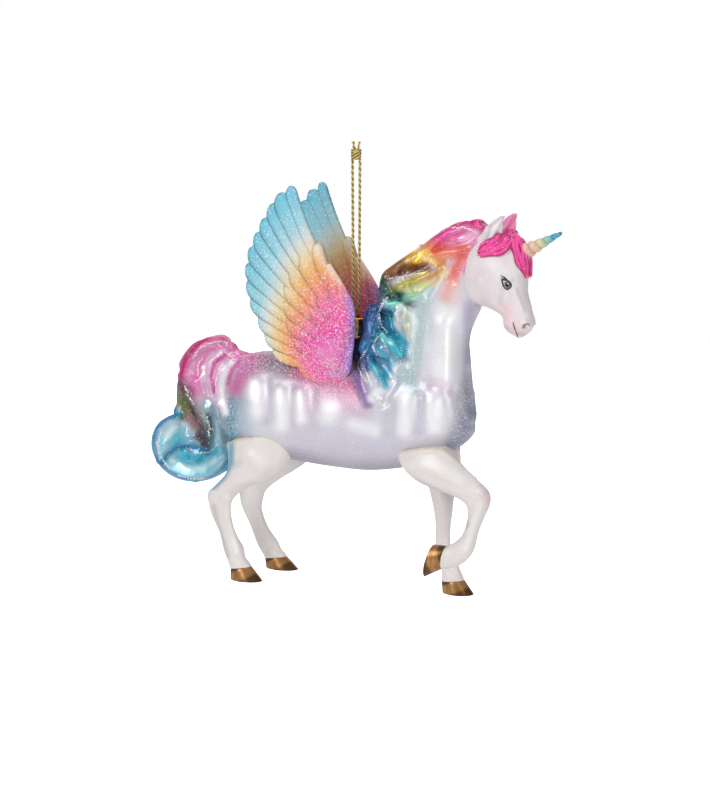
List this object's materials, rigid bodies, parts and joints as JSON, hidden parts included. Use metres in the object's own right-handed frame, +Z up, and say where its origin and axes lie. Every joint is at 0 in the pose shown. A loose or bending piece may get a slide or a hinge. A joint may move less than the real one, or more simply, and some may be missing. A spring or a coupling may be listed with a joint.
{
  "type": "winged unicorn tree ornament",
  "caption": "Hanging glass and resin winged unicorn tree ornament with a raised foreleg, scrolled tail, feathered wings, spiral horn and gold cord loop.",
  "frame": {"origin": "inside the top of the hanging loop, where a hook or twig bears", "axes": "+X towards the animal's head, +Y towards its left side, +Z up along the hanging cord"},
  "size_m": [0.1385, 0.0286, 0.135],
  "materials": {
    "glass_body": "satin",
    "head": "satin",
    "horn": "satin",
    "leg": "satin",
    "wing": "satin",
    "gold_metal": "gloss",
    "gold_cord": "satin"
  },
  "bodies": {
    "cord": {"hanging_cord": "gold_cord", "cord_knot": "gold_cord"},
    "clip": {"hanger_clip": "gold_metal"},
    "cap": {"cap": "gold_metal"},
    "ornament": {"glass_body": "glass_body", "head": "head", "horn": "horn", "front_left_leg": "leg", "front_right_leg": "leg", "hind_left_leg": "leg", "hind_right_leg": "leg", "left_wing": "wing", "right_wing": "wing"}
  },
  "joints": [
    {"name": "swing", "type": "hinge", "parent": "cord", "child": "clip", "pos_m": [0, 0, -0.04365], "axis": [0, 1, 0], "range_deg": [-28, 28]},
    {"name": "clip_pull", "type": "slide", "parent": "clip", "child": "cap", "axis": [0, 0, -1], "range_m": [0, 0.0085]},
    {"name": "cap_turn", "type": "hinge", "parent": "cap", "child": "ornament", "pos_m": [0, 0, -0.0466], "axis": [0, 0, 1], "continuous": true}
  ]
}
